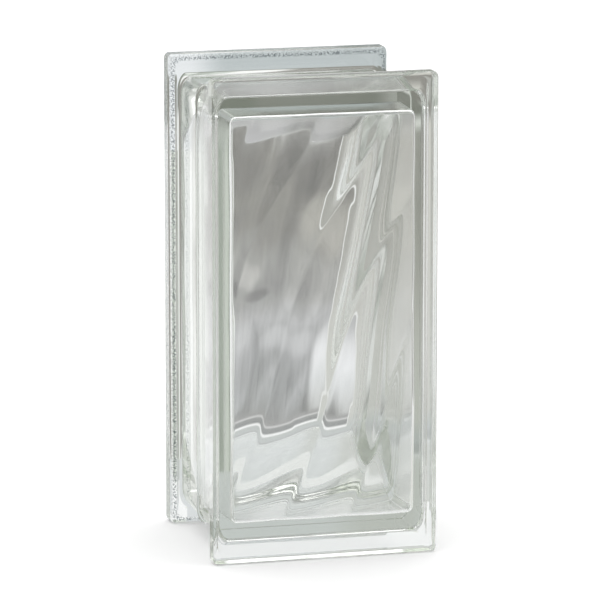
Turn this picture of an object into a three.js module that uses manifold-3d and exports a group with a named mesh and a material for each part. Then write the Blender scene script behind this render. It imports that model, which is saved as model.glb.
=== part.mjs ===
// Half-size hollow glass block: two pressed-glass dishes, fused mouth to mouth into one unit.
// Millimetres, +Z up. The block stands on its short end, with the origin under its middle,
// and its front face looks along -Y.
//
// Each half is flat outside and carries the wave relief on the inner face of its pane. Round
// the pane run a flange, a mortar channel behind it, and a wall that ends at the seam in the
// middle of the block. The cavity is nearly straight in the front half, and narrows in the back
// half to a smaller field with thick sloping walls.

import * as THREE from "three";
import { mergeVertices } from "three/addons/utils/BufferGeometryUtils.js";
import Module from "manifold-3d";

const wasm = await Module();
wasm.setup();

// The whole block.
const BLOCK_WIDTH = 90;
const BLOCK_HEIGHT = 190;
const BLOCK_DEPTH = 80;

// The pane and the flange round it.
const PANE_THICKNESS = 7;
const FLANGE_THICKNESS = 9;
const FACE_EDGE_RADIUS = 1.4;
const FLANGE_CORNER_SIDE = 2;
const FLANGE_CORNER_END = 2.4;

// The mortar channel: how far the flange stands out over the wall, at the long sides and at
// the short ends, its rounded lip, its leaning face and the root where it meets the wall.
const SIDE_OVERHANG = 4.4;
const END_OVERHANG = 8.6;
const CHANNEL_LIP_RADIUS = 2.8;
const CHANNEL_FACE_RISE = 1.2;
const CHANNEL_ROOT_RUN = 1.6;
const CHANNEL_ROOT_DEPTH = 3;
const WALL_CORNER_SIDE = 4;
const WALL_CORNER_END = 7;

// The wall at the seam, its outer draft, and the beads that the fusing squeezes out.
const SIDE_WALL = 3;
const END_WALL = 6;
const OUTER_DRAFT = 0.5;
const OUTER_BEAD_PROUD = 0.7;
const OUTER_BEAD_WIDTH = 4;
const INNER_BEAD_PROUD_SIDE = 1.4;
const INNER_BEAD_PROUD_END = 3;
const INNER_BEAD_WIDTH = 9;

// How much the cavity narrows from the seam to the pane, all round, in each half.
const FRONT_DRAFT_SIDE = 0.6;
const FRONT_DRAFT_END = 0.6;
const BACK_DRAFT_SIDE = 8.3;
const BACK_DRAFT_END = 18.5;

// The cavity's corners, and the fillet between its walls and the pane.
const CAVITY_CORNER_SIDE = 2.4;
const CAVITY_CORNER_END = 3.2;
const PANE_FILLET = 1.6;

// The wave relief: scallops side by side that meet in sharp ridges. The ridges lean to the
// right and wander, and a longer swell crosses them. Height is the scallop's depth in the
// middle of the block, and the fade makes it deeper at the foot. Lean is from the horizontal.
const SCALLOP_LENGTH = 23.5;
const SCALLOP_HEIGHT = 1.4;
const SCALLOP_FADE = 0.3;
const RIDGE_ROUNDING = 0.1;
const RIDGE_LEAN = 68;
const RIDGE_PHASE = 5.94;
const WANDER_LENGTH = 130;
const WANDER_ANGLE = 0.87;
const WANDER_PHASE = 2.98;
const SWELL_LENGTH = 47;
const SWELL_HEIGHT = 0.35;
const SWELL_LEAN = 12;
const SWELL_PHASE = 2.1;

// The mean of a scallop's rounded half sine, which leaves the pane's mean thickness as it is.
const SCALLOP_MEAN = 2 / Math.PI;

// How finely the round parts and the relief are drawn.
const ARC_STEPS = 4;
const CORNER_STEPS = 4;
const RELIEF_PITCH = 3;
const CUT_MARGIN = 2;

const HALF_DEPTH = BLOCK_DEPTH / 2;
const GLASS = { color: 0xd9e2df, roughness: 0.06, metalness: 0, transparent: true, opacity: 0.55 };

const turn = (degrees) => THREE.MathUtils.degToRad(degrees);

// --- Lofted skins -------------------------------------------------------------------------

// A ring is a rectangle with elliptical corners, set in from the block's outline. Its points
// run counter-clockwise as seen from the front.
function ringOutline(sideInset, endInset, cornerSide, cornerEnd) {
  const halfWidth = BLOCK_WIDTH / 2 - sideInset;
  const halfHeight = BLOCK_HEIGHT / 2 - endInset;
  const corners = [[1, 1], [-1, 1], [-1, -1], [1, -1]];
  const points = [];
  corners.forEach(([sx, sz], quarter) => {
    for (let step = 0; step <= CORNER_STEPS; step += 1) {
      const angle = ((quarter + step / CORNER_STEPS) * Math.PI) / 2;
      const x = sx * (halfWidth - cornerSide) + cornerSide * Math.cos(angle);
      const z = sz * (halfHeight - cornerEnd) + cornerEnd * Math.sin(angle);
      points.push(new THREE.Vector2(x, z));
    }
  });
  return points;
}

// A loft joins rings at rising depths behind the face and closes both ends flat.
function loft(stations) {
  const outlines = stations.map((s) => ringOutline(s.side, s.end, s.cornerSide, s.cornerEnd));
  const count = outlines[0].length;
  const positions = [];
  const faces = [];
  outlines.forEach((outline, level) => {
    const y = stations[level].depth - HALF_DEPTH;
    outline.forEach((point) => positions.push(point.x, y, point.y + BLOCK_HEIGHT / 2));
  });
  for (let level = 0; level + 1 < outlines.length; level += 1) {
    for (let i = 0; i < count; i += 1) {
      const a = level * count + i;
      const b = level * count + ((i + 1) % count);
      faces.push(a, a + count, b);
      faces.push(b, a + count, b + count);
    }
  }
  const last = (outlines.length - 1) * count;
  for (const [i, j, k] of THREE.ShapeUtils.triangulateShape(outlines[0], [])) {
    faces.push(i, j, k);
  }
  for (const [i, j, k] of THREE.ShapeUtils.triangulateShape(outlines.at(-1), [])) {
    faces.push(last + i, last + k, last + j);
  }
  const geometry = new THREE.BufferGeometry();
  geometry.setAttribute("position", new THREE.Float32BufferAttribute(positions, 3));
  geometry.setIndex(faces);
  return geometry;
}

// Points of a quarter turn, as shares from 0 to 1 across and along.
function quarterTurn() {
  const steps = [];
  for (let step = 0; step <= ARC_STEPS; step += 1) {
    const angle = turn((90 * step) / ARC_STEPS);
    steps.push({ across: 1 - Math.cos(angle), along: Math.sin(angle) });
  }
  return steps;
}

// The rounded edge between the flat face and the rim, inside the flange's own corners.
function faceEdgeStations() {
  return quarterTurn().map(({ across, along }) => {
    const inset = FACE_EDGE_RADIUS * (1 - along);
    return {
      depth: FACE_EDGE_RADIUS * across,
      side: inset,
      end: inset,
      cornerSide: FLANGE_CORNER_SIDE - inset,
      cornerEnd: FLANGE_CORNER_END - inset,
    };
  });
}

// A ring behind the flange's rim, set in from it by so much at the sides and at the ends.
function channelStation(depth, side, end) {
  return {
    depth,
    side,
    end,
    cornerSide: THREE.MathUtils.lerp(FLANGE_CORNER_SIDE, WALL_CORNER_SIDE, side / SIDE_OVERHANG),
    cornerEnd: THREE.MathUtils.lerp(FLANGE_CORNER_END, WALL_CORNER_END, end / END_OVERHANG),
  };
}

// The flange's lip, its leaning channel face and the root where it runs into the wall.
function channelStations() {
  const lipStart = FLANGE_THICKNESS - CHANNEL_LIP_RADIUS;
  const rootStart = FLANGE_THICKNESS + CHANNEL_FACE_RISE;
  const lip = quarterTurn().map(({ across, along }) => {
    const inset = CHANNEL_LIP_RADIUS * across;
    return channelStation(lipStart + CHANNEL_LIP_RADIUS * along, inset, inset);
  });
  const root = quarterTurn().map(({ across, along }) => {
    const fromWall = CHANNEL_ROOT_RUN * (1 - along);
    return channelStation(
      rootStart + CHANNEL_ROOT_DEPTH * across,
      SIDE_OVERHANG - fromWall,
      END_OVERHANG - fromWall,
    );
  });
  return [...lip, ...root];
}

// The wall stands out by its draft to the seam, where the fused bead stands proud of it.
function wallStations() {
  const beadStart = HALF_DEPTH - OUTER_BEAD_WIDTH / 2;
  return quarterTurn().map(({ across, along }) => {
    const proud = OUTER_DRAFT + OUTER_BEAD_PROUD * across;
    return channelStation(
      beadStart + (along * OUTER_BEAD_WIDTH) / 2,
      SIDE_OVERHANG - proud,
      END_OVERHANG - proud,
    );
  });
}

function outerSkin() {
  return loft([...faceEdgeStations(), ...channelStations(), ...wallStations()]);
}

// --- The cavity ---------------------------------------------------------------------------

const SEAM_INSET_SIDE = SIDE_OVERHANG + SIDE_WALL;
const SEAM_INSET_END = END_OVERHANG + END_WALL;

// The walls of the plunger that presses the dish, with the groove of the inner bead. They
// pass the pane and the seam by a margin.
function plungerWalls(draft) {
  const run = HALF_DEPTH - PANE_THICKNESS;
  const station = (depth, beadRise = 0) => {
    const share = Math.max(0, HALF_DEPTH - depth) / run;
    return {
      depth,
      side: SEAM_INSET_SIDE + draft.side * share + INNER_BEAD_PROUD_SIDE * beadRise,
      end: SEAM_INSET_END + draft.end * share + INNER_BEAD_PROUD_END * beadRise,
      cornerSide: CAVITY_CORNER_SIDE,
      cornerEnd: CAVITY_CORNER_END,
    };
  };
  const front = PANE_THICKNESS - SCALLOP_HEIGHT - SWELL_HEIGHT - CUT_MARGIN;
  const beadStart = HALF_DEPTH - INNER_BEAD_WIDTH / 2;
  const bead = quarterTurn().map(({ across, along }) =>
    station(beadStart + (across * INNER_BEAD_WIDTH) / 2, along));
  return loft([station(front), ...bead, station(HALF_DEPTH + CUT_MARGIN, 1)]);
}

// One wave of the relief, in the plane of the face, for a lean from the horizontal.
function wavePhase(x, z, length, lean) {
  const across = x * Math.sin(turn(lean)) - z * Math.cos(turn(lean));
  return (2 * Math.PI * across) / length;
}

// Height of the relief at a point of the pane, with z from the block's foot.
function waveHeight(x, z) {
  const along = wavePhase(x, z, WANDER_LENGTH, RIDGE_LEAN + 90);
  const wander = WANDER_ANGLE * Math.sin(along + WANDER_PHASE);
  const angle = wavePhase(x, z, SCALLOP_LENGTH, RIDGE_LEAN) + RIDGE_PHASE + wander;
  const scallop = Math.hypot(Math.sin(angle / 2), RIDGE_ROUNDING) - SCALLOP_MEAN;
  const strength = 1 + SCALLOP_FADE * (1 - (2 * z) / BLOCK_HEIGHT);
  const swell = Math.sin(wavePhase(x, z, SWELL_LENGTH, SWELL_LEAN) + SWELL_PHASE);
  return SCALLOP_HEIGHT * strength * scallop + SWELL_HEIGHT * swell;
}

// Rise of the fillet over the pane, for a point's distance from the side and end walls.
function filletRise(fromSide, fromEnd) {
  const reach = Math.hypot(
    Math.max(0, PANE_FILLET - fromSide),
    Math.max(0, PANE_FILLET - fromEnd),
  );
  const within = Math.min(reach, PANE_FILLET);
  return PANE_FILLET - Math.sqrt(PANE_FILLET ** 2 - within ** 2);
}

// Grid lines across the cavity: even over the pane, closing up along the fillets, and a last
// one that stands clear of the walls.
function reliefLines(half, draft) {
  const flat = half - PANE_FILLET;
  const steps = Math.max(1, Math.round((2 * flat) / RELIEF_PITCH));
  const lines = [];
  for (let step = 0; step <= steps; step += 1) {
    lines.push(-flat + (2 * flat * step) / steps);
  }
  for (const { along } of quarterTurn().slice(1)) {
    lines.unshift(-flat - PANE_FILLET * along);
    lines.push(flat + PANE_FILLET * along);
  }
  lines.unshift(-half - draft - CUT_MARGIN);
  lines.push(half + draft + CUT_MARGIN);
  return lines;
}

// The plunger's nose: a block whose front is the fillet and the wave relief, and whose sides
// stand clear of the walls.
function plungerNose(draft) {
  const halfWidth = BLOCK_WIDTH / 2 - SEAM_INSET_SIDE - draft.side;
  const halfHeight = BLOCK_HEIGHT / 2 - SEAM_INSET_END - draft.end;
  const xLines = reliefLines(halfWidth, draft.side);
  const zLines = reliefLines(halfHeight, draft.end);
  const columns = xLines.length - 1;
  const rows = zLines.length - 1;
  const geometry = new THREE.BoxGeometry(1, 1, 1, columns, 1, rows);
  const position = geometry.getAttribute("position");
  for (let i = 0; i < position.count; i += 1) {
    const x = xLines[Math.round((position.getX(i) + 0.5) * columns)];
    const z = zLines[Math.round((position.getZ(i) + 0.5) * rows)];
    const fillet = filletRise(halfWidth - Math.abs(x), halfHeight - Math.abs(z));
    const relief = fillet - waveHeight(x, z + BLOCK_HEIGHT / 2);
    const y = position.getY(i) < 0 ? PANE_THICKNESS + relief - HALF_DEPTH : 2 * CUT_MARGIN;
    position.setXYZ(i, x, y, z + BLOCK_HEIGHT / 2);
  }
  return geometry;
}

// --- The pressed half ---------------------------------------------------------------------

function toSolid(geometry) {
  const bare = geometry.clone();
  bare.deleteAttribute("normal");
  bare.deleteAttribute("uv");
  const merged = mergeVertices(bare, 1e-4);
  return new wasm.Manifold(new wasm.Mesh({
    numProp: 3,
    vertProperties: new Float32Array(merged.getAttribute("position").array),
    triVerts: new Uint32Array(merged.getIndex().array),
  }));
}

function toGeometry(solid) {
  const mesh = solid.getMesh();
  const geometry = new THREE.BufferGeometry();
  geometry.setAttribute("position", new THREE.BufferAttribute(mesh.vertProperties, 3));
  geometry.setIndex(new THREE.BufferAttribute(mesh.triVerts, 1));
  geometry.computeVertexNormals();
  return geometry;
}

function pressedHalf(draft) {
  const plunger = toSolid(plungerWalls(draft)).intersect(toSolid(plungerNose(draft)));
  return toGeometry(toSolid(outerSkin()).subtract(plunger));
}

function glassHalf(name, draft) {
  const half = new THREE.Mesh(pressedHalf(draft), new THREE.MeshStandardMaterial(GLASS));
  half.name = name;
  return half;
}

// --- The block ----------------------------------------------------------------------------

const block = new THREE.Group();

const frontHalf = glassHalf("front_half", { side: FRONT_DRAFT_SIDE, end: FRONT_DRAFT_END });
block.add(frontHalf);

const backHalf = glassHalf("back_half", { side: BACK_DRAFT_SIDE, end: BACK_DRAFT_END });
backHalf.rotation.z = Math.PI;
block.add(backHalf);

export default block;
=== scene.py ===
"""The looks of the half-size hollow glass block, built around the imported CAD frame.

The CAD's two pressed halves are shown as the one fused body that the real block is: an outer
skin, and the skin of the sealed cavity inside it. The block's sizes are in millimetres, as on a
drawing, and turned into metres where its mesh is made. The stage round it is in metres.
"""

import math

import bpy
import numpy as np
from mathutils import Euler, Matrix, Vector


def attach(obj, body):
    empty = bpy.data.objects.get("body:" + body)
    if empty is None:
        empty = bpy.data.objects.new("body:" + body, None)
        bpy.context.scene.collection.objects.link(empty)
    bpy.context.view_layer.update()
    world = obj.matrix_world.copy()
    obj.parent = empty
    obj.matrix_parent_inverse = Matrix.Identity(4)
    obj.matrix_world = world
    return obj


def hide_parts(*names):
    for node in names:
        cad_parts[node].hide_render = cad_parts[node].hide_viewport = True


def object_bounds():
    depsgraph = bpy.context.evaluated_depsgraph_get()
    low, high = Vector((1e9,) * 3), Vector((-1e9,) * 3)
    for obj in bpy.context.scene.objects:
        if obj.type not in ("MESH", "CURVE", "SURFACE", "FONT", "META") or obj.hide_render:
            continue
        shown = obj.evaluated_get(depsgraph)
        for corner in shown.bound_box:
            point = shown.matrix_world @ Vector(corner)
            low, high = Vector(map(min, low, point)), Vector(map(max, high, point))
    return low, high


MM = 0.001

# --- The block, in millimetres. A pair is across the width and up the height. ------------------

PANE_THICKNESS = 7.0
FLANGE_THICKNESS = 9.0
FACE_EDGE_RADIUS = 1.4
FLANGE_CORNER = (2.0, 2.4)
OVERHANG = (4.4, 8.6)
CHANNEL_LIP_RADIUS = 2.8
CHANNEL_FACE_RISE = 1.2
CHANNEL_ROOT_RUN = 1.6
CHANNEL_ROOT_DEPTH = 3.0
WALL_CORNER = (4.0, 7.0)
WALL = (3.0, 6.0)
OUTER_DRAFT = 0.5
FRONT_DRAFT = (0.6, 0.6)
BACK_DRAFT = (8.3, 18.5)
OUTER_BEAD_PROUD = 0.7
OUTER_BEAD_WIDTH = 4.0
INNER_BEAD_PROUD = (1.4, 3.0)
INNER_BEAD_WIDTH = 9.0
CAVITY_CORNER = (2.4, 3.2)
FIELD_CORNER = (0.8, 1.0)
PANE_FILLET = 1.6

# The waves pressed into the panes' inner faces. Leans are in degrees, and phases and the
# wander's angle in radians.
SCALLOP_LENGTH = 23.5
SCALLOP_HEIGHT = 1.4
SCALLOP_FADE = 0.3
SCALLOP_MEAN = 2 / math.pi
RIDGE_ROUNDING = 0.1
RIDGE_LEAN = 68.0
RIDGE_PHASE = 5.94
WANDER_LENGTH = 130.0
WANDER_ANGLE = 0.87
WANDER_PHASE = 2.98
SWELL_LENGTH = 47.0
SWELL_HEIGHT = 0.35
SWELL_LEAN = 12.0
SWELL_PHASE = 2.1

# How finely the skins are drawn.
ARC_STEPS = 10
OUTER_CORNER_STEPS = 12
OUTER_SIDE_STEPS = (8, 16)
CAVITY_CORNER_STEPS = 8
CAVITY_SIDE_STEPS = (96, 200)
CAVITY_WALL_STEPS = 8

# --- The glass --------------------------------------------------------------------------------

GLASS_IOR = 1.52
GLASS_TINT = (0.8, 0.82, 0.785)
TINT_DENSITY = 20.0
# How stippled the back flange's rim is, ring by ring: its flat land, then its rounded lip.
RIM_STIPPLE = [1, 1, 0.3, 0.3, 0.3, 0.3, 0.5, 0.8, 1, 1, 0.8]
STIPPLE_LIMITS = (0.46, 0.56)
STIPPLE_TONE = (0.1, 0.12, 0.13)
STIPPLE_HEIGHT = 0.02
RIM_ROUGHNESS = 0.2
# The cavity's walls are frosted in full at its corners, and least past this reach, in mm.
FROSTED_REACH = 16.0
WALL_CLEARNESS = 0.68
WALL_ROUGHNESS = 0.3
UNEVEN_BLOBS = 60.0
UNEVEN_HEIGHT = 0.05

# Noise: blobs to a metre along each axis, detail and distortion.
STIPPLE_GRAINS = ((2000, 600, 2000), 1.0, 0.0)
CLOTH_BLOBS = ((42, 1, 26), 2.0, 1.2)
CLOTH_STREAKS = ((420, 1, 30), 3.0, 0.6)
NOISE_MEAN = 0.5

# --- The stage, in metres ---------------------------------------------------------------------

SWEEP_WIDTH = 6.0
SWEEP_NEAR = -4.0
SWEEP_FAR = 2.6
SWEEP_TOP = 3.0
SWEEP_BEND = 0.8
SWEEP_BEND_STEPS = 16
PAPER_TONE = (0.93, 0.93, 0.93)
PAPER_ROUGHNESS = 0.8
PAPER_LIFT = 0.2
FAR_LIFT = 0.3
FAR_LIFT_LIMITS = (1.0, 3.0)
# What the glass sees of the paper is mostly this tone, without shadows.
PAPER_GLOW = (0.93, 0.95, 0.95)
PAPER_GLOW_SHARE = 0.8

WHITE = (1.0, 1.0, 1.0)
SKY_STRENGTH = 0.6
SOFTBOX_PLACE = (0.0, 0.2, 2.2)
SOFTBOX_TARGET = (0.0, 0.0, 0.1)
SOFTBOX_SIZE = 3.0
SOFTBOX_POWER = 38

CAMERA_PLACE = (-0.479919, -1.784653, 0.455404)
CAMERA_YAW = 15.06
CAMERA_PITCH = 11.028
CAMERA_FOCUS_PX = 4785.528
PHOTO_WIDTH_PX = 600
SENSOR_WIDTH_MM = 36
CAMERA_REACH = (0.01, 50.0)
LIGHT_BOUNCES = 64

# --- Cards that only the glass sees, in metres ------------------------------------------------
#
# Clear glass shows what stands round it. These cards stand in for the photographer's studio, and
# were placed and toned by holding renders against the photo. A limit is two places: where
# something starts, and where it is there in full.

CARD_FOOT = 0.001
NEAR_CARD_Y = 0.044
NEAR_CARD_TOP = 0.1627
FAR_CARD_Y = 0.1
LEFT_CARD_Y = 0.2
# Upright sheets that face the camera: left, right, foot and top of each.
NEAR_CARD_SHEETS = [(-0.0245, 0.12, CARD_FOOT, NEAR_CARD_TOP), (-0.036, -0.0245, CARD_FOOT, 0.024)]
UPPER_STRIP_SHEETS = [(-0.047, 0.06, 0.1795, 0.2), (-0.047, -0.036, 0.15, 0.1795)]
FAR_CARD_SHEETS = [(-0.041, 0.14, CARD_FOOT, 0.26)]
LEFT_CARD_SHEETS = [(-0.056, -0.02, CARD_FOOT, 0.26)]
# The right card faces the block's side: its near end, far end, foot and top.
RIGHT_CARD_X = 0.3
RIGHT_CARD_SHEET = (-0.4, 0.3, CARD_FOOT, 0.5)
# Sheets on the ground: their left, right, near and far edges, and their tone.
GROUND_SHEETS = {
    "left_sheet": ((-0.6, -0.055, -0.8, 0.05), (0.5, 0.51, 0.48)),
    "right_sheet": ((0.055, 0.6, -0.8, 0.05), (0.8, 0.82, 0.78)),
    "front_sheet": ((-0.055, 0.055, -0.8, -0.05), (0.78, 0.79, 0.76)),
}
GROUND_FADE = (0.55, 0.12)

# The near card's cloth, behind the cavity, and the tones of its parts by height.
CLOTH_SIDE = 0.0275
CLOTH_SIDE_SOFTNESS = 0.001
CLOTH_FOOT = 0.0348
CLOTH_FOOT_SOFTNESS = 0.0005
HIGHLIGHT_SHADE_LINE_LIMITS = (0.0433, 0.04)
NEAR_CARD_FADE = (NEAR_CARD_TOP, 0.1565)
CLOTH_TONES = [
    (0.036, (0.32, 0.325, 0.32)),
    (0.05, (0.38, 0.39, 0.395)),
    (0.062, (0.42, 0.425, 0.435)),
    (0.08, (0.45, 0.455, 0.46)),
    (0.09, (0.32, 0.32, 0.31)),
    (0.106, (0.3, 0.3, 0.285)),
    (0.114, (0.225, 0.22, 0.2)),
    (0.13, (0.195, 0.19, 0.168)),
    (0.149, (0.19, 0.185, 0.165)),
    (0.156, (0.27, 0.268, 0.25)),
    (0.163, (0.48, 0.48, 0.47)),
]
# Tones by height of thin lines over the cloth's foot: a white line of painted highlight, dark bands
# of painted shade and a paler line.
HIGHLIGHT_SHADE_LINE_TONES = [
    (0.0357, (0.95, 0.96, 0.96)),
    (0.0362, (0.27, 0.28, 0.28)),
    (0.0388, (0.3, 0.31, 0.31)),
    (0.0391, (0.62, 0.62, 0.62)),
    (0.0396, (0.62, 0.62, 0.62)),
    (0.04, (0.34, 0.34, 0.34)),
]
# The white line at about 0.026 m is a painted highlight.
SURROUND_TONES = [
    (0.017, (0.72, 0.75, 0.76)),
    (0.022, (0.72, 0.75, 0.75)),
    (0.0258, (0.7, 0.73, 0.73)),
    (0.0262, (0.84, 0.87, 0.88)),
    (0.0267, (0.84, 0.87, 0.88)),
    (0.0273, (0.45, 0.47, 0.47)),
    (0.0312, (0.5, 0.52, 0.52)),
    (0.0318, (0.54, 0.57, 0.57)),
    (0.0345, (0.54, 0.57, 0.56)),
    (0.04, (0.61, 0.62, 0.59)),
    (0.156, (0.6, 0.6, 0.55)),
]
# How much the noise lightens the cloth, and how far in metres the blobs push its tones and side.
BLOB_CONTRAST = 1.3
STREAK_CONTRAST = 0.5
BLOB_DRIFT = 0.03
SIDE_DRIFT = 0.006
# Soft spots of the cloth: centre, reach, and how much lighter or darker they are.
CLOTH_SPOTS = [
    ((0.025, 0.055), (0.011, 0.021), 1.15),
    ((0.022, 0.118), (0.012, 0.014), 0.7),
    ((0.008, 0.069), (0.013, 0.007), 0.3),
    ((0.014, 0.14), (0.013, 0.02), -0.4),
    ((-0.003, 0.15), (0.009, 0.008), 0.2),
    ((0.005, 0.11), (0.006, 0.045), -0.22),
    ((-0.0165, 0.101), (0.007, 0.006), 0.5),
    ((-0.011, 0.093), (0.011, 0.0035), -0.35),
    ((0.0145, 0.087), (0.004, 0.008), 0.3),
]
# Patches: tone, limits sideways and limits in height. Here, sideways is from the cloth's side.
SURROUND_PATCHES = [
    ((0.46, 0.46, 0.43), [(0.028, 0.012)], [(0.05, 0.12)]),
    ((0.33, 0.33, 0.3), [(0.009, 0.001)], [(0.07, 0.13)]),
    ((0.64, 0.66, 0.64), [(-0.015, 0.005)], [(0.03, 0.022)]),
]
# A thin pale line up the cloth's side, a painted highlight.
CLOTH_OUTLINE = [
    (
        (0.8, 0.81, 0.8),
        [(-0.0003, 0.0), (0.0007, 0.0004)],
        [(CLOTH_FOOT - CLOTH_FOOT_SOFTNESS, CLOTH_FOOT)],
    ),
]

# The far card shows over the near card and past its left edge. In its middle and right tones,
# the near-white paint up to 0.152 m is a painted highlight, which the glass shows along the
# cavity's top, and the dark band above it is painted shade, as is the dark band of its left tones.
FAR_LEFT_TONES = [
    (0.15, (0.55, 0.6, 0.55)),
    (0.157, (0.2, 0.22, 0.18)),
    (0.17, (0.2, 0.22, 0.18)),
    (0.176, (0.5, 0.51, 0.5)),
    (0.19, (0.5, 0.5, 0.515)),
]
FAR_MIDDLE_TONES = [
    (0.152, (0.95, 0.96, 0.94)),
    (0.1565, (0.21, 0.22, 0.19)),
    (0.167, (0.27, 0.28, 0.25)),
    (0.173, (0.5, 0.52, 0.49)),
    (0.188, (0.52, 0.53, 0.52)),
    (0.2, (0.5, 0.5, 0.51)),
    (0.212, (0.62, 0.62, 0.63)),
]
FAR_RIGHT_TONES = [
    (0.152, (0.95, 0.96, 0.94)),
    (0.1565, (0.21, 0.22, 0.19)),
    (0.167, (0.22, 0.23, 0.2)),
    (0.173, (0.14, 0.15, 0.13)),
    (0.195, (0.16, 0.16, 0.15)),
    (0.207, (0.4, 0.4, 0.39)),
]
FAR_RIGHT_LIMITS = (0.015, 0.055)
FAR_LEFT_LIMITS = (0.004, -0.002)
# The first two patches are a light stripe and a dark stripe down the left: a painted highlight and
# painted shade.
FAR_PATCHES = [
    ((0.8, 0.84, 0.79), [(-0.0145, -0.0155)], [(0.157, 0.15)]),
    ((0.36, 0.4, 0.35), [(-0.0155, -0.0145), (-0.007, -0.009)], [(0.157, 0.15)]),
    ((0.4, 0.41, 0.38), [(0.05, 0.06)], [(0.138, 0.145), (0.182, 0.174)]),
    ((0.25, 0.245, 0.22), [(0.018, 0.03)], [(0.159, 0.156)]),
]

LEFT_CARD_TONE = (0.55, 0.6, 0.55)
STRIP_TONE = (0.5, 0.55, 0.56)
STRIP_LEFT_TONE = (0.82, 0.85, 0.87)
STRIP_LEFT_LIMITS = (-0.018, -0.036)
RIGHT_CARD_TONE = (0.62, 0.63, 0.61)
RIGHT_CARD_FAR_TONE = (0.22, 0.225, 0.215)
RIGHT_CARD_FAR_LIMITS = (0.045, 0.075)
RIGHT_CARD_NEAR_FADE = (-0.38, -0.1)
RIGHT_CARD_TOP_FADE = (0.48, 0.25)

# The height in metres that a ramp of tones spans.
RAMP_HEIGHT = 0.24


# --- Rings and skins --------------------------------------------------------------------------

def quarter_turn():
    """A quarter of an ellipse, as pairs of 1 - cosine and sine, from (0, 0) to (1, 1)."""
    angles = np.radians(np.linspace(0, 90, ARC_STEPS + 1))
    return [(1 - math.cos(a), math.sin(a)) for a in angles]


class Outline:
    """A rectangle with elliptical corners, drawn as rows of a grid so that it can be filled."""

    def __init__(self, corner_steps, side_steps):
        self.corner_steps = corner_steps
        self.columns, self.side_rows = side_steps
        self.rows = self.side_rows + 2 * corner_steps

    def grid(self, half, corner):
        """x and z of every grid point, as arrays of (rows + 1, columns + 1)."""
        angles = np.linspace(-90, 0, self.corner_steps + 1)[:-1]
        low_widths = half[0] - corner[0] + corner[0] * np.cos(np.radians(angles))
        low_z = -half[1] + corner[1] + corner[1] * np.sin(np.radians(angles))
        mid_z = np.linspace(-half[1] + corner[1], half[1] - corner[1], self.side_rows + 1)
        z = np.concatenate([low_z, mid_z, -low_z[::-1]])
        widths = np.concatenate([low_widths, np.full(len(mid_z), half[0]), low_widths[::-1]])
        share = np.linspace(-1, 1, self.columns + 1)
        return widths[:, None] * share[None, :], np.repeat(z[:, None], self.columns + 1, axis=1)

    def edge(self):
        """Grid index of each point round the edge, counter-clockwise as seen from the front."""
        wide = self.columns + 1
        bottom = list(range(wide))
        right = [row * wide + self.columns for row in range(1, self.rows + 1)]
        top = [self.rows * wide + i for i in range(self.columns - 1, -1, -1)]
        left = [row * wide for row in range(self.rows - 1, 0, -1)]
        return bottom + right + top + left

    def ring(self, half, corner):
        """x and z round the edge."""
        x, z = self.grid(half, corner)
        order = self.edge()
        return x.ravel()[order], z.ravel()[order]


class Skin:
    """Vertices and faces of one closed surface, in millimetres."""

    def __init__(self):
        self.points = []
        self.faces = []
        self.stipple = []
        self.wall = []

    def add(self, x, y, z, stipple=0.0, wall=0.0):
        """Adds points, with how stippled and how frosted they are, and returns their indices."""
        start = len(self.points)
        y = np.broadcast_to(y, x.shape)
        self.points.extend(zip(x.ravel(), y.ravel(), z.ravel()))
        self.stipple.extend([stipple] * x.size)
        self.wall.extend(np.broadcast_to(wall, x.shape).ravel())
        return list(range(start, start + x.size))

    def join(self, a, b, inward=False):
        """Faces between ring a and ring b behind it, which look outward or inward.

        On a half that is turned round, b is behind a as it was before the turn.
        """
        count = len(a)
        for i in range(count):
            j = (i + 1) % count
            face = (a[i], b[i], b[j], a[j])
            self.faces.append(face[::-1] if inward else face)

    def fill(self, grid, outline):
        """Faces of a whole grid. They look to the back, unless its points are turned round."""
        wide = outline.columns + 1
        for row in range(outline.rows):
            for column in range(outline.columns):
                a = row * wide + column
                self.faces.append((grid[a], grid[a + wide], grid[a + wide + 1], grid[a + 1]))


# --- The waves --------------------------------------------------------------------------------

def wave_phase(x, z, length, lean):
    """Phase of a straight wave whose crests lean from the level by so many degrees."""
    lean = math.radians(lean)
    return 2 * math.pi * (x * math.sin(lean) - z * math.cos(lean)) / length


def wave_height(x, z, height):
    """How deep the scallops are pressed at a point of a pane, z from the block's foot."""
    wander = WANDER_ANGLE * np.sin(wave_phase(x, z, WANDER_LENGTH, RIDGE_LEAN + 90) + WANDER_PHASE)
    turn = wave_phase(x, z, SCALLOP_LENGTH, RIDGE_LEAN) + RIDGE_PHASE + wander
    scallop = np.hypot(np.sin(turn / 2), RIDGE_ROUNDING) - SCALLOP_MEAN
    strength = 1 + SCALLOP_FADE * (1 - 2 * z / height)
    swell = np.sin(wave_phase(x, z, SWELL_LENGTH, SWELL_LEAN) + SWELL_PHASE)
    return SCALLOP_HEIGHT * strength * scallop + SWELL_HEIGHT * swell


def pane_depth(x, z, size):
    """Depth of the pane's inner surface behind its face, at z from the block's middle."""
    return PANE_THICKNESS - wave_height(x, z + size[2] / 2, size[2])


# --- The outer skin ---------------------------------------------------------------------------

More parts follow.
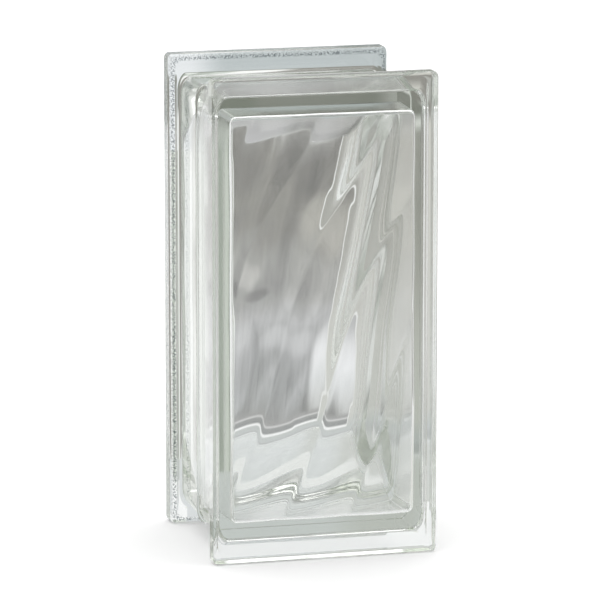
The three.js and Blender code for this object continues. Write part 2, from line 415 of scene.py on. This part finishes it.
def outer_stations(size):
    """(depth, half sizes, corner radii) of the rings from the front face to the seam."""
    half = np.array([size[0] / 2, size[2] / 2])
    flange = np.array(FLANGE_CORNER)
    wall = np.array(WALL_CORNER)
    overhang = np.array(OVERHANG)
    stations = []
    for across, along in quarter_turn():
        inset = FACE_EDGE_RADIUS * (1 - along)
        stations.append((FACE_EDGE_RADIUS * across, half - inset, flange - inset))

    def channel(depth, inset):
        corner = flange + (wall - flange) * inset / overhang
        stations.append((depth, half - inset, corner))

    lip_start = FLANGE_THICKNESS - CHANNEL_LIP_RADIUS
    for across, along in quarter_turn():
        channel(lip_start + along * CHANNEL_LIP_RADIUS, across * CHANNEL_LIP_RADIUS)
    root_start = FLANGE_THICKNESS + CHANNEL_FACE_RISE
    for across, along in quarter_turn():
        channel(root_start + across * CHANNEL_ROOT_DEPTH, overhang - CHANNEL_ROOT_RUN * (1 - along))
    bead_start = size[1] / 2 - OUTER_BEAD_WIDTH / 2
    for across, along in quarter_turn():
        proud = OUTER_DRAFT + OUTER_BEAD_PROUD * across
        channel(bead_start + along * OUTER_BEAD_WIDTH / 2, overhang - proud)
    return stations


def rim_stipple(ring):
    """How stippled a ring of the back half is, by its number from the back face."""
    past_edge = ring - ARC_STEPS
    return RIM_STIPPLE[past_edge] if 0 <= past_edge < len(RIM_STIPPLE) else 0.0


def outer_skin(size):
    """The outside, from the front face through the seam to the back face."""
    outline = Outline(OUTER_CORNER_STEPS, OUTER_SIDE_STEPS)
    skin = Skin()
    rings = []

    def add_ring(y, half, corner, stipple=0.0):
        x, z = outline.ring(half, corner)
        rings.append(skin.add(x, y, z + size[2] / 2, stipple))

    stations = outer_stations(size)
    for depth, half, corner in stations:
        add_ring(depth - size[1] / 2, half, corner)
    # The back half mirrors the front. The seam's ring is there already.
    for number in range(len(stations) - 2, -1, -1):
        depth, half, corner = stations[number]
        add_ring(size[1] / 2 - depth, half, corner, rim_stipple(number))
    for a, b in zip(rings, rings[1:]):
        skin.join(a, b)
    skin.faces.append(tuple(rings[0]))
    skin.faces.append(tuple(reversed(rings[-1])))
    return skin


# --- The cavity's skin ------------------------------------------------------------------------

def cavity_half_size(size, depth, draft):
    """Half sizes of the cavity at a depth behind the block's face, with its walls' draft."""
    run = size[1] / 2 - PANE_THICKNESS
    narrowed = np.array(draft) * (size[1] / 2 - depth) / run
    seam = np.array([size[0] / 2, size[2] / 2]) - np.array(OVERHANG) - np.array(WALL)
    return seam - narrowed


def wall_levels(size, pane_edge):
    """(depth of each point, mean depth, bead's height) of the rings from a pane to the seam."""
    bead = np.array(INNER_BEAD_PROUD)
    bead_start = size[1] / 2 - INNER_BEAD_WIDTH / 2
    levels = []
    for step in range(1, CAVITY_WALL_STEPS + 1):
        share = step / CAVITY_WALL_STEPS
        depths = pane_edge + (bead_start - pane_edge) * share
        levels.append((depths, float(depths.mean()), 0.0))
    for across, along in quarter_turn()[1:]:
        depth = bead_start + across * INNER_BEAD_WIDTH / 2
        levels.append((np.full(len(pane_edge), depth), depth, bead * along))
    return levels


def add_half_cavity(skin, outline, size, draft, turn):
    """Adds one half's hollow and returns its rings, from the pane's field to the seam.

    turn is 1 for the front half. It is -1 for the back half, which is turned half round +Z, and
    stops one ring before the seam, because the seam's ring is the front half's.
    """
    def add(x, depth, z, wall=0.0):
        return skin.add(turn * x, turn * (depth - size[1] / 2), z + size[2] / 2, wall=wall)

    corner = np.array(CAVITY_CORNER)
    field_corner = np.array(FIELD_CORNER)
    pane_half = cavity_half_size(size, PANE_THICKNESS, draft)
    x, z = outline.grid(pane_half - PANE_FILLET, field_corner)
    field = add(x, pane_depth(x, z, size), z)
    skin.fill(field, outline)
    rings = [[field[i] for i in outline.edge()]]
    for across, along in quarter_turn()[1:]:
        inset = PANE_FILLET * (1 - along)
        x, z = outline.ring(pane_half - inset, field_corner + (corner - field_corner) * along)
        depth = pane_depth(x, z, size) + PANE_FILLET * across
        rings.append(add(x, depth, z))
    levels = wall_levels(size, depth)
    if turn == -1:
        levels.pop()
    for depth, mean_depth, proud in levels:
        half = cavity_half_size(size, mean_depth, draft) - proud
        x, z = outline.ring(half, corner)
        from_corner = np.hypot(half[0] - np.abs(x), half[1] - np.abs(z))
        frosted = 1 - WALL_CLEARNESS * np.clip(from_corner / FROSTED_REACH, 0, 1)
        rings.append(add(x, depth, z, wall=frosted))
    return rings


def cavity_skin(size):
    """The sealed hollow: both wavy faces, their fillets and the drafted walls to the seam."""
    outline = Outline(CAVITY_CORNER_STEPS, CAVITY_SIDE_STEPS)
    skin = Skin()
    front = add_half_cavity(skin, outline, size, FRONT_DRAFT, 1)
    back = add_half_cavity(skin, outline, size, BACK_DRAFT, -1)
    for rings in (front, back):
        for ring, nearer_seam in zip(rings, rings[1:]):
            skin.join(ring, nearer_seam, inward=True)
    skin.join(front[-1], match_turned(skin, front[-1], back[-1]), inward=True)
    return skin


def on_unit_square(skin, ring):
    """A ring's x and z, each as a share of its span."""
    flat = np.array([skin.points[i] for i in ring])[:, [0, 2]]
    return (flat - flat.min(axis=0)) / np.ptp(flat, axis=0)


def match_turned(skin, ring, turned):
    """The turned half's last ring, started and ordered so that it lies against the front's."""
    points = on_unit_square(skin, turned)
    order = [int(np.abs(points - p).sum(axis=1).argmin()) for p in on_unit_square(skin, ring)]
    return [turned[i] for i in order]


# --- Objects ----------------------------------------------------------------------------------

def mesh_object(name, points, faces, material, smooth=False):
    """A mesh in metres, as an object of the scene."""
    mesh = bpy.data.meshes.new(name)
    mesh.from_pydata(points, [], faces)
    mesh.materials.append(material)
    for polygon in mesh.polygons:
        polygon.use_smooth = smooth
    obj = bpy.data.objects.new(name, mesh)
    bpy.context.scene.collection.objects.link(obj)
    return obj


def skins_object(name, skins, material):
    """Skins in millimetres as one object, with their stipple and frost as its attributes."""
    points = []
    faces = []
    stipple = []
    wall = []
    for skin in skins:
        start = len(points)
        points.extend([tuple(float(c) * MM for c in point) for point in skin.points])
        faces.extend([tuple(start + i for i in face) for face in skin.faces])
        stipple.extend(skin.stipple)
        wall.extend(skin.wall)
    obj = mesh_object(name, points, faces, material, smooth=True)
    obj.data.attributes.new("stipple", "FLOAT", "POINT").data.foreach_set("value", stipple)
    obj.data.attributes.new("wall", "FLOAT", "POINT").data.foreach_set("value", wall)
    return obj


# --- Shader nodes -----------------------------------------------------------------------------

def opaque(colour):
    """A colour of three parts gets its fourth. A link stays as it is."""
    return (*colour, 1.0) if isinstance(colour, tuple) else colour


def node(tree, kind, inputs=(), **settings):
    """A new shader node, with its settings and the values or links of its inputs."""
    made = tree.nodes.new(kind)
    for name, value in settings.items():
        setattr(made, name, value)
    for name, value in dict(inputs).items():
        if isinstance(value, bpy.types.NodeSocket):
            tree.links.new(value, made.inputs[name])
        else:
            made.inputs[name].default_value = value
    return made


def calc(tree, operation, a, b):
    """What a Math node makes of two values or links."""
    return node(tree, "ShaderNodeMath", {0: a, 1: b}, operation=operation).outputs[0]


def rise(tree, value, start, full):
    """From 0 to 1 as the value goes from where the rise starts to where it is full."""
    inputs = {"Value": value, "From Min": start, "From Max": full}
    return node(tree, "ShaderNodeMapRange", inputs, interpolation_type="SMOOTHSTEP").outputs[0]


def mix(tree, factor, a, b):
    """Colour a, and colour b where the factor is 1."""
    inputs = {0: factor, 6: opaque(a), 7: opaque(b)}
    return node(tree, "ShaderNodeMix", inputs, data_type="RGBA").outputs[2]


def cover(tree, *limits):
    """1 where every value is past its limit. A limit is (value, start, full)."""
    rises = [rise(tree, *limit) for limit in limits]
    product = rises[0]
    for other in rises[1:]:
        product = calc(tree, "MULTIPLY", product, other)
    return product


def add_patches(tree, paint, sideways, up, patches):
    """Paint with each patch of a list of (tone, limits sideways, limits in height) laid on it."""
    for tone, side_limits, height_limits in patches:
        limits = [(sideways, *limit) for limit in side_limits]
        limits += [(up, *limit) for limit in height_limits]
        paint = mix(tree, cover(tree, *limits), paint, tone)
    return paint


def height_ramp(tree, up, stops):
    """Tones at heights in metres."""
    made = node(tree, "ShaderNodeValToRGB", {"Fac": calc(tree, "DIVIDE", up, RAMP_HEIGHT)})
    elements = made.color_ramp.elements
    while len(elements) < len(stops):
        elements.new(0.5)
    for element, (height, tone) in zip(elements, stops):
        element.position = height / RAMP_HEIGHT
        element.color = opaque(tone)
    return made.outputs["Color"]


def noise(tree, place, stretch, detail, distortion):
    """Noise with the given number of blobs to a metre along each axis."""
    stretched = node(tree, "ShaderNodeMapping", {"Vector": place, "Scale": stretch})
    inputs = {"Vector": stretched.outputs[0], "Scale": 1, "Detail": detail, "Distortion": distortion}
    return node(tree, "ShaderNodeTexNoise", inputs).outputs[0]


def spot(tree, across, up, centre, reach):
    """1 at the centre of a soft oval, 0 at its edge."""
    x = calc(tree, "MULTIPLY", calc(tree, "SUBTRACT", across, centre[0]), 1 / reach[0])
    z = calc(tree, "MULTIPLY", calc(tree, "SUBTRACT", up, centre[1]), 1 / reach[1])
    away = calc(tree, "ADD", calc(tree, "MULTIPLY", x, x), calc(tree, "MULTIPLY", z, z))
    return rise(tree, away, 1.0, 0.0)


def object_place(tree):
    """The place on the object, in metres, as a vector."""
    return node(tree, "ShaderNodeTexCoord").outputs["Object"]


def object_axes(tree):
    """The place on the object, as its x, y and z."""
    return node(tree, "ShaderNodeSeparateXYZ", {"Vector": object_place(tree)}).outputs


def distance_from_block(tree):
    """Metres from the middle of the block's foot."""
    inputs = {0: object_place(tree)}
    return node(tree, "ShaderNodeVectorMath", inputs, operation="LENGTH").outputs["Value"]


def seen_directly(tree):
    """1 for camera, mirror and glass rays, 0 for the soft light that surfaces give each other."""
    path = node(tree, "ShaderNodeLightPath").outputs
    seen = calc(tree, "MAXIMUM", path["Is Camera Ray"], path["Is Glossy Ray"])
    return calc(tree, "MAXIMUM", seen, path["Is Transmission Ray"])


# --- Materials --------------------------------------------------------------------------------

def new_material(name):
    """A material and its node tree, which starts with Blender's own shader and output."""
    material = bpy.data.materials.new(name)
    material.use_nodes = True
    return material, material.node_tree


def glass_material():
    """Clear glass: uneven all over, stippled on the back rim and frosted on the cavity's walls."""
    material, tree = new_material("pressed_glass")
    shader = tree.nodes["Principled BSDF"]
    shader.inputs["Base Color"].default_value = opaque(WHITE)
    shader.inputs["IOR"].default_value = GLASS_IOR
    shader.inputs["Transmission Weight"].default_value = 1.0
    place = object_place(tree)
    rim = node(tree, "ShaderNodeAttribute", attribute_name="stipple").outputs["Fac"]
    grains = noise(tree, place, *STIPPLE_GRAINS)
    dots = calc(tree, "MULTIPLY", rise(tree, grains, *STIPPLE_LIMITS), rim)
    inputs = {"Vector": place, "Scale": UNEVEN_BLOBS, "Detail": 1.0}
    uneven = node(tree, "ShaderNodeTexNoise", inputs).outputs[0]
    height = calc(
        tree,
        "ADD",
        calc(tree, "MULTIPLY", dots, STIPPLE_HEIGHT),
        calc(tree, "MULTIPLY", uneven, UNEVEN_HEIGHT),
    )
    bump = node(tree, "ShaderNodeBump", {"Height": height, "Strength": 1.0, "Distance": MM})
    tree.links.new(bump.outputs[0], shader.inputs["Normal"])
    wall = node(tree, "ShaderNodeAttribute", attribute_name="wall").outputs["Fac"]
    roughness = calc(
        tree,
        "MAXIMUM",
        calc(tree, "MULTIPLY", rim, RIM_ROUGHNESS),
        calc(tree, "MULTIPLY", wall, WALL_ROUGHNESS),
    )
    tree.links.new(roughness, shader.inputs["Roughness"])
    tree.links.new(mix(tree, dots, WHITE, STIPPLE_TONE), shader.inputs["Base Color"])
    inputs = {"Color": opaque(GLASS_TINT), "Density": TINT_DENSITY}
    absorption = node(tree, "ShaderNodeVolumeAbsorption", inputs)
    tree.links.new(absorption.outputs[0], tree.nodes["Material Output"].inputs["Volume"])
    return material


def paper_material():
    """White paper that looks white to the eye, mirror and glass, and keeps its shadows."""
    material, tree = new_material("sweep_paper")
    shader = tree.nodes["Principled BSDF"]
    shader.inputs["Base Color"].default_value = opaque(PAPER_TONE)
    shader.inputs["Roughness"].default_value = PAPER_ROUGHNESS
    shader.inputs["Emission Color"].default_value = opaque(WHITE)
    far = rise(tree, distance_from_block(tree), *FAR_LIFT_LIMITS)
    lift = calc(tree, "ADD", PAPER_LIFT, calc(tree, "MULTIPLY", far, FAR_LIFT))
    strength = calc(tree, "MULTIPLY", seen_directly(tree), lift)
    tree.links.new(strength, shader.inputs["Emission Strength"])
    through_glass = node(tree, "ShaderNodeLightPath").outputs["Is Transmission Ray"]
    share = calc(tree, "MULTIPLY", through_glass, PAPER_GLOW_SHARE)
    glow = node(tree, "ShaderNodeEmission", {"Color": opaque(PAPER_GLOW), "Strength": 1.0})
    inputs = {0: share, 1: shader.outputs[0], 2: glow.outputs[0]}
    shown = node(tree, "ShaderNodeMixShader", inputs)
    tree.links.new(shown.outputs[0], tree.nodes["Material Output"].inputs["Surface"])
    return material


def card_material(name, painter):
    """Paint that shines by itself. The painter returns its colour and what share of it is there."""
    material, tree = new_material(name)
    tree.nodes.clear()
    paint, share = painter(tree)
    shown = node(tree, "ShaderNodeEmission", {"Color": opaque(paint), "Strength": 1.0})
    if share is not None:
        clear = node(tree, "ShaderNodeBsdfTransparent")
        inputs = {0: share, 1: clear.outputs[0], 2: shown.outputs[0]}
        shown = node(tree, "ShaderNodeMixShader", inputs)
    node(tree, "ShaderNodeOutputMaterial", {"Surface": shown.outputs[0]})
    return material


def near_paint(tree):
    """Mottled grey cloth with a thin pale line of painted highlight up its side, and thin lines of
    painted highlight and painted shade over its foot.

    Beside and below it is pale grey paint, with a white line of painted highlight and a darker
    band below the cloth.
    """
    place = object_place(tree)
    axes = object_axes(tree)
    across = axes["X"]
    up = axes["Z"]
    blobs = calc(tree, "SUBTRACT", noise(tree, place, *CLOTH_BLOBS), NOISE_MEAN)
    streaks = calc(tree, "SUBTRACT", noise(tree, place, *CLOTH_STREAKS), NOISE_MEAN)
    grain = calc(
        tree,
        "ADD",
        calc(tree, "MULTIPLY", blobs, BLOB_CONTRAST),
        calc(tree, "MULTIPLY", streaks, STREAK_CONTRAST),
    )
    for centre, reach, lift in CLOTH_SPOTS:
        lightened = calc(tree, "MULTIPLY", spot(tree, across, up, centre, reach), lift)
        grain = calc(tree, "ADD", grain, lightened)
    drifted = calc(tree, "ADD", up, calc(tree, "MULTIPLY", blobs, BLOB_DRIFT))
    inputs = {0: height_ramp(tree, drifted, CLOTH_TONES), "Scale": calc(tree, "ADD", grain, 1.0)}
    cloth = node(tree, "ShaderNodeVectorMath", inputs, operation="SCALE")
    # Over the cloth's foot, thin lines of painted highlight and painted shade.
    highlight_shade_lines = height_ramp(tree, up, HIGHLIGHT_SHADE_LINE_TONES)
    cloth_with_lines = mix(tree, rise(tree, up, *HIGHLIGHT_SHADE_LINE_LIMITS), cloth.outputs[0], highlight_shade_lines)

    side = calc(tree, "ADD", across, calc(tree, "MULTIPLY", blobs, SIDE_DRIFT))
    beyond = calc(tree, "SUBTRACT", side, CLOTH_SIDE)
    surround = height_ramp(tree, up, SURROUND_TONES)
    surround = add_patches(tree, surround, beyond, up, SURROUND_PATCHES)
    inside = cover(
        tree,
        (side, CLOTH_SIDE + CLOTH_SIDE_SOFTNESS, CLOTH_SIDE - CLOTH_SIDE_SOFTNESS),
        (up, CLOTH_FOOT - CLOTH_FOOT_SOFTNESS, CLOTH_FOOT + CLOTH_FOOT_SOFTNESS),
    )
    paint = mix(tree, inside, surround, cloth_with_lines)
    paint = add_patches(tree, paint, beyond, up, CLOTH_OUTLINE)
    return paint, rise(tree, up, *NEAR_CARD_FADE)


def strip_paint(tree):
    """Pale blue-grey, lighter at its left end."""
    left = rise(tree, object_axes(tree)["X"], *STRIP_LEFT_LIMITS)
    return mix(tree, left, STRIP_TONE, STRIP_LEFT_TONE), None


def far_paint(tree):
    """Pale paint with a painted highlight of near-white low down in its middle and right, a dark band
    of painted shade behind the near card's top, and two stripes down its left: a painted highlight
    and painted shade.
    """
    axes = object_axes(tree)
    across = axes["X"]
    up = axes["Z"]
    middle = height_ramp(tree, up, FAR_MIDDLE_TONES)
    right = height_ramp(tree, up, FAR_RIGHT_TONES)
    left = height_ramp(tree, up, FAR_LEFT_TONES)
    paint = mix(tree, rise(tree, across, *FAR_RIGHT_LIMITS), middle, right)
    paint = mix(tree, rise(tree, across, *FAR_LEFT_LIMITS), paint, left)
    return add_patches(tree, paint, across, up, FAR_PATCHES), None


def left_paint(tree):
    """One pale green-grey."""
    return LEFT_CARD_TONE, None


def right_paint(tree):
    """Grey, darker at its far end, that thins out at its near end and its top."""
    axes = object_axes(tree)
    far = rise(tree, axes["Y"], *RIGHT_CARD_FAR_LIMITS)
    paint = mix(tree, far, RIGHT_CARD_TONE, RIGHT_CARD_FAR_TONE)
    share = cover(tree, (axes["Y"], *RIGHT_CARD_NEAR_FADE), (axes["Z"], *RIGHT_CARD_TOP_FADE))
    return paint, share


# --- Stage, lights and camera -----------------------------------------------------------------

def stage_floor():
    """A sweep: floor in front, curving up to a backdrop behind."""
    bend_start = SWEEP_FAR - SWEEP_BEND
    profile = [(SWEEP_NEAR, 0.0), (bend_start, 0.0)]
    for step in range(1, SWEEP_BEND_STEPS + 1):
        a = math.radians(90 * step / SWEEP_BEND_STEPS)
        profile.append((bend_start + SWEEP_BEND * math.sin(a), SWEEP_BEND - SWEEP_BEND * math.cos(a)))
    profile.append((SWEEP_FAR, SWEEP_TOP))
    points = [(x, y, z) for y, z in profile for x in (-SWEEP_WIDTH / 2, SWEEP_WIDTH / 2)]
    faces = [(2 * i, 2 * i + 1, 2 * i + 3, 2 * i + 2) for i in range(len(profile) - 1)]
    obj = mesh_object("sweep", points, faces, paper_material(), smooth=True)


def hidden_card(name, corners, painter):
    """A card of one or more four-cornered sheets that only mirror and glass rays see."""
    faces = [(i, i + 1, i + 2, i + 3) for i in range(0, len(corners), 4)]
    obj = mesh_object(name, corners, faces, card_material(name + "_paint", painter))
    obj.visible_camera = False
    obj.visible_diffuse = False
    obj.visible_shadow = False


def upright(sheets, y):
    """Corners of upright sheets that face the camera."""
    corners = []
    for left, right, foot, top in sheets:
        corners += [(left, y, foot), (right, y, foot), (right, y, top), (left, y, top)]
    return corners


def ground_sheet(name, edges, tone):
    """A sheet just over the floor that thins out away from the block."""
    left, right, near, far = edges
    z = CARD_FOOT
    corners = [(left, near, z), (right, near, z), (right, far, z), (left, far, z)]

    def painter(tree):
        return tone, rise(tree, distance_from_block(tree), *GROUND_FADE)

    hidden_card(name, corners, painter)


def cards():
    """The cards and ground sheets that only the glass sees."""
    hidden_card("near_card", upright(NEAR_CARD_SHEETS, NEAR_CARD_Y), near_paint)
    hidden_card("upper_strip", upright(UPPER_STRIP_SHEETS, NEAR_CARD_Y), strip_paint)
    hidden_card("far_card", upright(FAR_CARD_SHEETS, FAR_CARD_Y), far_paint)
    hidden_card("left_card", upright(LEFT_CARD_SHEETS, LEFT_CARD_Y), left_paint)
    near, far, foot, top = RIGHT_CARD_SHEET
    x = RIGHT_CARD_X
    side_on = [(x, near, foot), (x, far, foot), (x, far, top), (x, near, top)]
    hidden_card("right_card", side_on, right_paint)
    for name, (edges, tone) in GROUND_SHEETS.items():
        ground_sheet(name, edges, tone)


def studio():
    """A white world that looks fully white and lights the block more softly, and one softbox."""
    world = bpy.data.worlds.new("studio")
    bpy.context.scene.world = world
    world.use_nodes = True
    tree = world.node_tree
    sky = tree.nodes["Background"]
    sky.inputs["Color"].default_value = opaque(WHITE)
    lift = calc(tree, "MULTIPLY", seen_directly(tree), 1 - SKY_STRENGTH)
    tree.links.new(calc(tree, "ADD", lift, SKY_STRENGTH), sky.inputs["Strength"])

    lamp = bpy.data.lights.new("top_softbox", "AREA")
    lamp.shape = "SQUARE"
    lamp.size = SOFTBOX_SIZE
    lamp.energy = SOFTBOX_POWER
    obj = bpy.data.objects.new("top_softbox", lamp)
    obj.location = SOFTBOX_PLACE
    aim = Vector(SOFTBOX_TARGET) - Vector(SOFTBOX_PLACE)
    obj.rotation_euler = aim.to_track_quat("-Z", "Y").to_euler()
    bpy.context.scene.collection.objects.link(obj)


def camera():
    """The photograph's viewpoint, as fitted to the block's edges."""
    data = bpy.data.cameras.new("camera")
    data.sensor_width = SENSOR_WIDTH_MM
    data.lens = CAMERA_FOCUS_PX / PHOTO_WIDTH_PX * SENSOR_WIDTH_MM
    data.clip_start, data.clip_end = CAMERA_REACH
    obj = bpy.data.objects.new("camera", data)
    obj.location = CAMERA_PLACE
    obj.rotation_euler = Euler((math.radians(90 - CAMERA_PITCH), 0, math.radians(-CAMERA_YAW)))
    bpy.context.scene.collection.objects.link(obj)
    bpy.context.scene.camera = obj


# --- The scene --------------------------------------------------------------------------------

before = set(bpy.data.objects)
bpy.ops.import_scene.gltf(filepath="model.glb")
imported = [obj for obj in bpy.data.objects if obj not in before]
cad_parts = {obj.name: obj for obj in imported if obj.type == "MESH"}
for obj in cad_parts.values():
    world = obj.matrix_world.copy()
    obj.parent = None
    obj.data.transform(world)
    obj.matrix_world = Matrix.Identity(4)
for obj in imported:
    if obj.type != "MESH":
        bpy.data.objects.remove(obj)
cad_low, cad_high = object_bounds()
size = [(cad_high[i] - cad_low[i]) / MM for i in range(3)]

block = skins_object("fused_glass_block", [outer_skin(size), cavity_skin(size)], glass_material())
weighted = block.modifiers.new("flat faces stay flat", "WEIGHTED_NORMAL")
weighted.mode = "FACE_AREA"
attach(block, "root")
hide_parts("front_half", "back_half")

stage_floor()
cards()
studio()
camera()

bpy.context.scene.view_settings.view_transform = "Standard"
bpy.context.scene.cycles.max_bounces = LIGHT_BOUNCES
bpy.context.scene.cycles.transmission_bounces = LIGHT_BOUNCES
bpy.context.scene.cycles.glossy_bounces = LIGHT_BOUNCES
